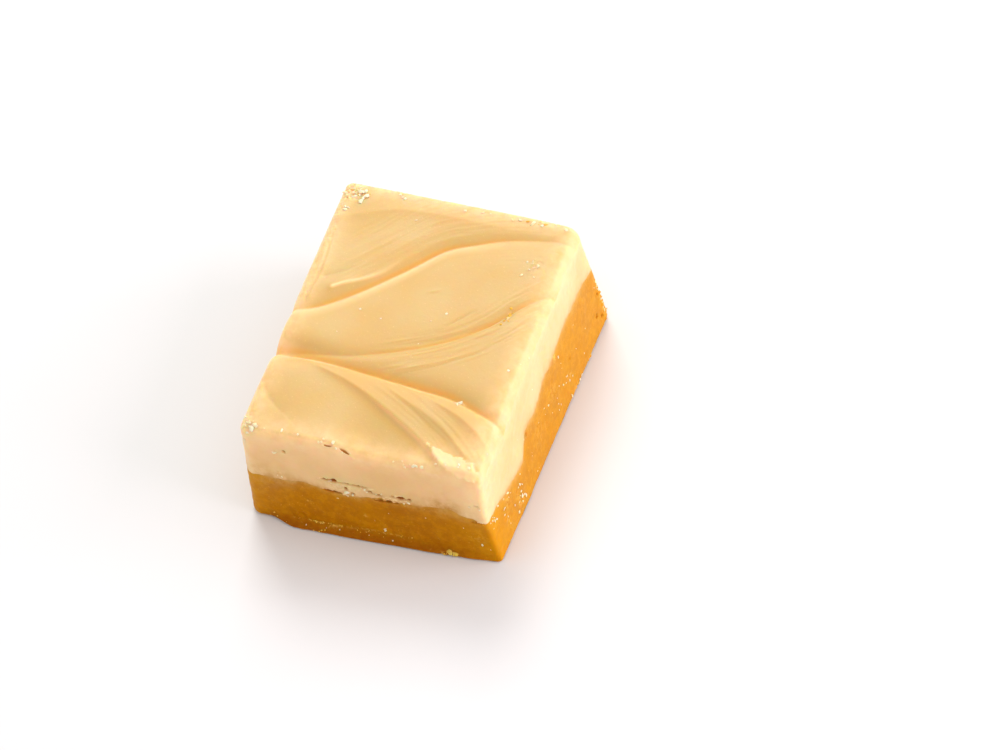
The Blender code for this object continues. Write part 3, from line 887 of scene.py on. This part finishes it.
def add_math(tree, operation, first, second):
    node = tree.nodes.new("ShaderNodeMath")
    node.operation = operation
    for socket, value in zip(node.inputs, (first, second)):
        if isinstance(value, (int, float)):
            socket.default_value = value
        else:
            tree.links.new(value, socket)
    return node.outputs["Value"]


def add_range(tree, value, low, high, to_low=0.0, to_high=1.0):
    node = tree.nodes.new("ShaderNodeMapRange")
    node.interpolation_type = "SMOOTHSTEP"
    set_inputs(node, {"From Min": low, "From Max": high, "To Min": to_low, "To Max": to_high})
    tree.links.new(value, node.inputs["Value"])
    return node.outputs["Result"]


def build_sugar_grain():
    group, enter, leave = new_group(
        "sugar_grain", (("Drift Scale", DRIFT_SCALE), ("Crystal Scale", CRYSTAL_SCALE)),
        ("Drift", "Crystals", "Height"))
    place = enter.outputs["Place"]
    drift = add_noise(group, place, DRIFT_SCALE, 4.0)
    group.links.new(enter.outputs["Drift Scale"], drift.node.inputs["Scale"])
    group.links.new(add_range(group, drift, 0.3, 0.7), leave.inputs["Drift"])
    fine = add_noise(group, place, CRYSTAL_SCALE, 3.0, 0.6)
    group.links.new(enter.outputs["Crystal Scale"], fine.node.inputs["Scale"])
    group.links.new(add_range(group, fine, 0.62, 0.74), leave.inputs["Crystals"])
    coarse = add_noise(group, place, COARSE_SCALE, 4.0, 0.55)
    coarse = add_math(group, "MULTIPLY", coarse, 0.7)
    total = add_math(group, "ADD", coarse, add_math(group, "MULTIPLY", fine, 0.3))
    group.links.new(total, leave.inputs["Height"])
    return group


sugar_grain = build_sugar_grain()
print("built group", sugar_grain.name)

# %% [markdown]
# ## Cream finish
# Cream fudge is pale and a little see-through: light goes in and comes out again beside its edges,
# which makes thin places glow. Subsurface scattering does that. It fades out near the layer line and
# in the pits, where the colour of what lies behind would be wrong. The top skin has dried a bit
# darker than the cut walls and is darkened further with painted shade, and butterscotch has smeared
# up over the line on the near face. The dips of the swirls and the pits get painted shade, and the
# crests and the edges a painted highlight.

# %% Cream material
CREAM_CUT = (0.92, 0.62, 0.335, 1.0)
# top skin: dried a bit darker, and darkened further as painted shade
CREAM_SKIN_AND_SHADE = (0.67, 0.477, 0.205, 1.0)
CREAM_DEEP = (0.72, 0.455, 0.175, 1.0)
CREAM_PALE = (0.98, 0.69, 0.375, 1.0)
# pale colour of the torn skin and of wear, also a painted highlight on crests and edges
CREAM_WORN_AND_HIGHLIGHT = (0.97, 0.725, 0.42, 1.0)
# painted warm shade for the dips of the swirls
CREAM_HOLLOW_SHADE = (0.82, 0.44, 0.09, 1.0)
BUTTERSCOTCH_TONE = (0.515, 0.205, 0.001, 1.0)
BUTTERSCOTCH_LIGHT = (0.66, 0.30, 0.004, 1.0)
BUTTERSCOTCH_DEEP = (0.46, 0.172, 0.001, 1.0)
# pale sugar crystals, also used as painted light on the right wall
BUTTERSCOTCH_CRYSTAL_AND_LIGHT = (0.84, 0.52, 0.13, 1.0)
# painted shade for the pits in the cream
PIT_PAINTED_SHADE = (0.50, 0.17, 0.025, 1.0)
SCATTER_RADIUS = (1.0, 0.36, 0.13)
# how far light travels in the cream in metres, the share of it that does, and the grain's height
CREAM_SCATTER = 0.0028
CREAM_GLOW = 0.9
CREAM_GRAIN_HEIGHT = 0.0001


def new_finish(name, gloss, scatter_weight, scatter_scale):
    """Principled material with subsurface scattering, and its place in millimetres."""
    material = bpy.data.materials.new(name)
    material.use_nodes = True
    tree = material.node_tree
    shader = tree.nodes["Principled BSDF"]
    set_inputs(shader, {"Subsurface Weight": scatter_weight, "Subsurface Radius": SCATTER_RADIUS,
                        "Subsurface Scale": scatter_scale, "Specular IOR Level": gloss})
    coordinates = tree.nodes.new("ShaderNodeTexCoord")
    in_mm = tree.nodes.new("ShaderNodeVectorMath")
    in_mm.operation = "SCALE"
    in_mm.inputs["Scale"].default_value = 1.0 / MM
    tree.links.new(coordinates.outputs["Object"], in_mm.inputs[0])
    return material, tree, shader, in_mm.outputs["Vector"]


def add_group(tree, group, place, values):
    node = tree.nodes.new("ShaderNodeGroup")
    node.node_tree = group
    tree.links.new(place, node.inputs["Place"])
    set_inputs(node, values)
    return node


def add_mix(tree, share, first, second):
    node = tree.nodes.new("ShaderNodeMix")
    node.data_type = "RGBA"
    for socket, value in ((node.inputs[0], share), (node.inputs[6], first), (node.inputs[7], second)):
        if isinstance(value, (int, float, tuple)):
            socket.default_value = value
        else:
            tree.links.new(value, socket)
    return node.outputs[2]


def add_tint(tree, colour, mask, strength, tint):
    """Mixes a tint over the colour, by a mask times a strength."""
    return add_mix(tree, add_math(tree, "MULTIPLY", mask, strength), colour, tint)


def add_value_on_mesh(tree, name):
    node = tree.nodes.new("ShaderNodeAttribute")
    node.attribute_name = name
    return node.outputs["Fac"]


def add_bump(tree, shader, height, strength, distance):
    node = tree.nodes.new("ShaderNodeBump")
    set_inputs(node, {"Strength": strength, "Distance": distance})
    tree.links.new(height, node.inputs["Height"])
    tree.links.new(node.outputs["Normal"], shader.inputs["Normal"])


def add_stain(tree, place, colour, other):
    """Smears the other layer's colour over this one near the layer line, in a patchy way."""
    patchy = add_range(tree, add_noise(tree, place, 0.7, 4.0, 0.6), 0.3, 0.7, 0.5, 1.5)
    return add_tint(tree, colour, add_value_on_mesh(tree, "stain"), patchy, other)


def add_scuff(tree, place, colour, pale, wear_and_highlight_colour):
    """Pale flecks of loose sugar in the rough patches, and wear along the edges with a painted highlight."""
    scuff = add_range(tree, add_value_on_mesh(tree, "scuff"), 0.02, 0.22)
    flecks = add_range(tree, add_noise(tree, place, 1.9, 4.0, 0.65), 0.44, 0.6)
    colour = add_tint(tree, colour, scuff, flecks, pale)
    wear_and_highlight = add_range(tree, add_noise(tree, place, 0.45, 4.0, 0.6), 0.3, 0.7, 0.35, 0.8)
    return add_tint(tree, colour, add_value_on_mesh(tree, "edge_wear_and_highlight"), wear_and_highlight, wear_and_highlight_colour)


def make_cream_finish():
    material, tree, shader, place = new_finish("cream_fudge_finish", 0.2, CREAM_GLOW, CREAM_SCATTER)
    grain = add_group(tree, sugar_grain, place, {"Drift Scale": 0.1, "Crystal Scale": 4.0})
    # the top skin is a bit darker and also carries painted shade
    skin = add_mix(tree, add_value_on_mesh(tree, "top_skin"), CREAM_CUT, CREAM_SKIN_AND_SHADE)
    colour = add_tint(tree, skin, grain.outputs["Drift"], 0.45, CREAM_DEEP)
    colour = add_tint(tree, colour, grain.outputs["Crystals"], 0.4, CREAM_PALE)
    # painted warm shade in the dips of the swirls
    colour = add_tint(tree, colour, add_value_on_mesh(tree, "painted_hollow_shade"), 0.6, CREAM_HOLLOW_SHADE)
    # painted highlight on the crests, together with the paler torn skin
    pale = add_math(tree, "MAXIMUM", add_value_on_mesh(tree, "torn_skin"), add_value_on_mesh(tree, "crest_highlight"))
    colour = add_tint(tree, colour, pale, 0.9, CREAM_WORN_AND_HIGHLIGHT)
    colour = add_stain(tree, place, colour, BUTTERSCOTCH_TONE)
    colour = add_scuff(tree, place, colour, CREAM_PALE, CREAM_WORN_AND_HIGHLIGHT)
    # painted shade in the pits
    painted_hollow_shade = add_range(tree, add_value_on_mesh(tree, "pit"), 0.05, 0.4, 0.0, 0.95)
    colour = add_mix(tree, painted_hollow_shade, colour, PIT_PAINTED_SHADE)
    rim = add_range(tree, add_value_on_mesh(tree, "pit"), -0.1, -0.03, 0.8, 0.0)
    colour = add_mix(tree, rim, colour, CREAM_PALE)
    tree.links.new(colour, shader.inputs["Base Color"])
    glow = add_math(tree, "MULTIPLY", add_value_on_mesh(tree, "thick"), CREAM_GLOW)
    tree.links.new(glow, shader.inputs["Subsurface Weight"])
    tree.links.new(add_range(tree, grain.outputs["Drift"], 0.0, 1.0, 0.36, 0.5), shader.inputs["Roughness"])
    add_bump(tree, shader, grain.outputs["Height"], 0.35, CREAM_GRAIN_HEIGHT)
    return material


cream.data.materials.append(make_cream_finish())
print("cream finish on", cream.name)

# %% [markdown]
# ## Butterscotch finish
# Butterscotch is the same sugar mass, cooked darker. Less light travels in it. The blade left pale
# flecks of sugar on its cut walls, and its tone drifts in darker patches. The foot of the near wall
# and the pits get painted shade, the right wall painted light, and the edges a painted highlight.

# %% Butterscotch material
# painted shade for the pits and for the foot of the near wall
BUTTERSCOTCH_PAINTED_SHADE = (0.26, 0.07, 0.006, 1.0)
BUTTERSCOTCH_SCATTER = 0.0012
BUTTERSCOTCH_GLOW = 0.5
BUTTERSCOTCH_GRAIN_HEIGHT = 0.00012


def make_butterscotch_finish():
    material, tree, shader, place = new_finish(
        "butterscotch_fudge_finish", 0.06, BUTTERSCOTCH_GLOW, BUTTERSCOTCH_SCATTER)
    grain = add_group(tree, sugar_grain, place, {"Drift Scale": 0.22, "Crystal Scale": 2.6})
    colour = add_mix(tree, grain.outputs["Drift"], BUTTERSCOTCH_TONE, BUTTERSCOTCH_DEEP)
    mottle = add_range(tree, add_noise(tree, place, 0.9, 5.0, 0.7), 0.4, 0.65, 0.0, 0.5)
    colour = add_mix(tree, mottle, colour, BUTTERSCOTCH_LIGHT)
    colour = add_tint(tree, colour, grain.outputs["Crystals"], 0.5, BUTTERSCOTCH_CRYSTAL_AND_LIGHT)
    # painted light on the right wall
    colour = add_tint(tree, colour, add_value_on_mesh(tree, "dry"), 0.22, BUTTERSCOTCH_CRYSTAL_AND_LIGHT)
    # painted shade on the foot of the near wall
    colour = add_tint(tree, colour, add_value_on_mesh(tree, "foot"), 0.6, BUTTERSCOTCH_PAINTED_SHADE)
    colour = add_stain(tree, place, colour, CREAM_DEEP)
    colour = add_scuff(tree, place, colour, BUTTERSCOTCH_CRYSTAL_AND_LIGHT, BUTTERSCOTCH_LIGHT)
    # painted shade in the pits
    painted_hollow_shade = add_range(tree, add_value_on_mesh(tree, "pit"), 0.05, 0.5, 0.0, 0.8)
    colour = add_mix(tree, painted_hollow_shade, colour, BUTTERSCOTCH_PAINTED_SHADE)
    tree.links.new(colour, shader.inputs["Base Color"])
    tree.links.new(add_range(tree, grain.outputs["Drift"], 0.0, 1.0, 0.48, 0.34), shader.inputs["Roughness"])
    add_bump(tree, shader, grain.outputs["Height"], 0.5, BUTTERSCOTCH_GRAIN_HEIGHT)
    return material


butterscotch.data.materials.append(make_butterscotch_finish())
print("butterscotch finish on", butterscotch.name)

# %% [markdown]
# ## Crumb finishes
# Pale crumbs are dry sugar, nearly white. Warm crumbs are bits of butterscotch and toffee.

# %% Crumb materials
PALE_CRUMB = ((1.0, 0.88, 0.66, 1.0), (0.97, 0.76, 0.45, 1.0))
WARM_CRUMB = ((0.95, 0.62, 0.14, 1.0), (0.85, 0.43, 0.05, 1.0))
CRUMB_SCATTER = 0.0005
CRUMB_GLOW = 0.4
CRUMB_GRAIN_HEIGHT = 0.00008


def make_crumb_finish(name, light, dark):
    material, tree, shader, place = new_finish(name, 0.12, CRUMB_GLOW, CRUMB_SCATTER)
    grain = add_group(tree, sugar_grain, place, {"Drift Scale": 0.9, "Crystal Scale": 6.0})
    tree.links.new(add_mix(tree, grain.outputs["Drift"], light, dark), shader.inputs["Base Color"])
    add_bump(tree, shader, grain.outputs["Height"], 0.4, CRUMB_GRAIN_HEIGHT)
    return material


pale_crumbs.data.materials.append(make_crumb_finish("pale_crumb_finish", *PALE_CRUMB))
warm_crumbs.data.materials.append(make_crumb_finish("warm_crumb_finish", *WARM_CRUMB))
print("crumb finishes on", pale_crumbs.name, "and", warm_crumbs.name)

# %% [markdown]
# ## Table and studio light
# The block stands on a plain white table that fades into a white background. Large soft lamps keep
# shadows pale. One stands beyond the block and rakes over the top, which shows the swirls. One
# stands to the right, so the right wall is brightest and the near wall is darkest.

# %% Floor
FLOOR_HALF_SIZE = 1.5
FLOOR_WHITE = (0.81, 0.81, 0.82, 1.0)


def make_floor():
    bm = bmesh.new()
    bmesh.ops.create_grid(bm, x_segments=1, y_segments=1, size=FLOOR_HALF_SIZE)
    floor = mesh_object(bm, "table_top")
    material = bpy.data.materials.new("table_white")
    material.use_nodes = True
    set_inputs(material.node_tree.nodes["Principled BSDF"], {"Base Color": FLOOR_WHITE, "Roughness": 0.7})
    floor.data.materials.append(material)
    return floor


floor = make_floor()
print("floor is", floor.name)

# %% Lamps
def add_lamp(name, direction, distance, size, power, colour):
    """Square area lamp that looks at the block from a direction."""
    data = bpy.data.lights.new(name, "AREA")
    data.size = size
    data.energy = power
    data.color = colour
    lamp = bpy.data.objects.new(name, data)
    bpy.context.scene.collection.objects.link(lamp)
    lamp.location = Vector(direction).normalized() * distance
    lamp.rotation_euler = (-lamp.location).to_track_quat("-Z", "Y").to_euler()


add_lamp("far_window", (-0.4, 0.85, 0.95), 0.8, 0.34, 2.55, (1.0, 0.98, 0.95))
add_lamp("right_window", (1.0, 0.1, 0.35), 0.8, 0.6, 3.9, (1.0, 0.865, 0.93))
world = bpy.data.worlds.new("white_studio")
world.use_nodes = True
set_inputs(world.node_tree.nodes["Background"], {"Color": (1.0, 0.99, 0.97, 1.0), "Strength": 0.67})
bpy.context.scene.world = world
bpy.context.scene.view_settings.view_transform = "Standard"
bpy.context.scene.view_settings.look = "Medium High Contrast"
print("lamps:", len(bpy.data.lights))

# %% [markdown]
# ## Camera
# The camera looks down on the block from its near right, with a portrait lens and a slight roll, as
# in the photograph.

# %% Camera
CAMERA_SPOT = (149.45, -199.27, 315.02)
CAMERA_TARGET = (32.4, 26.38, 10.0)
CAMERA_ROLL = math.radians(11.6)
PHOTO_WIDTH = 1000
FOCAL_LENGTH_PX = 2600
SENSOR_WIDTH = 36.0


def make_camera():
    data = bpy.data.cameras.new("camera")
    data.sensor_width = SENSOR_WIDTH
    data.lens = SENSOR_WIDTH * FOCAL_LENGTH_PX / PHOTO_WIDTH
    camera = bpy.data.objects.new("camera", data)
    bpy.context.scene.collection.objects.link(camera)
    camera.location = into_frame @ Vector(CAMERA_SPOT)
    look = into_frame @ Vector(CAMERA_TARGET) - camera.location
    level = look.to_track_quat("-Z", "Y").to_matrix()
    camera.rotation_euler = (level @ Matrix.Rotation(-CAMERA_ROLL, 3, "Z")).to_euler()
    bpy.context.scene.camera = camera
    return camera


camera = make_camera()
print("lens", round(camera.data.lens, 1), "mm")
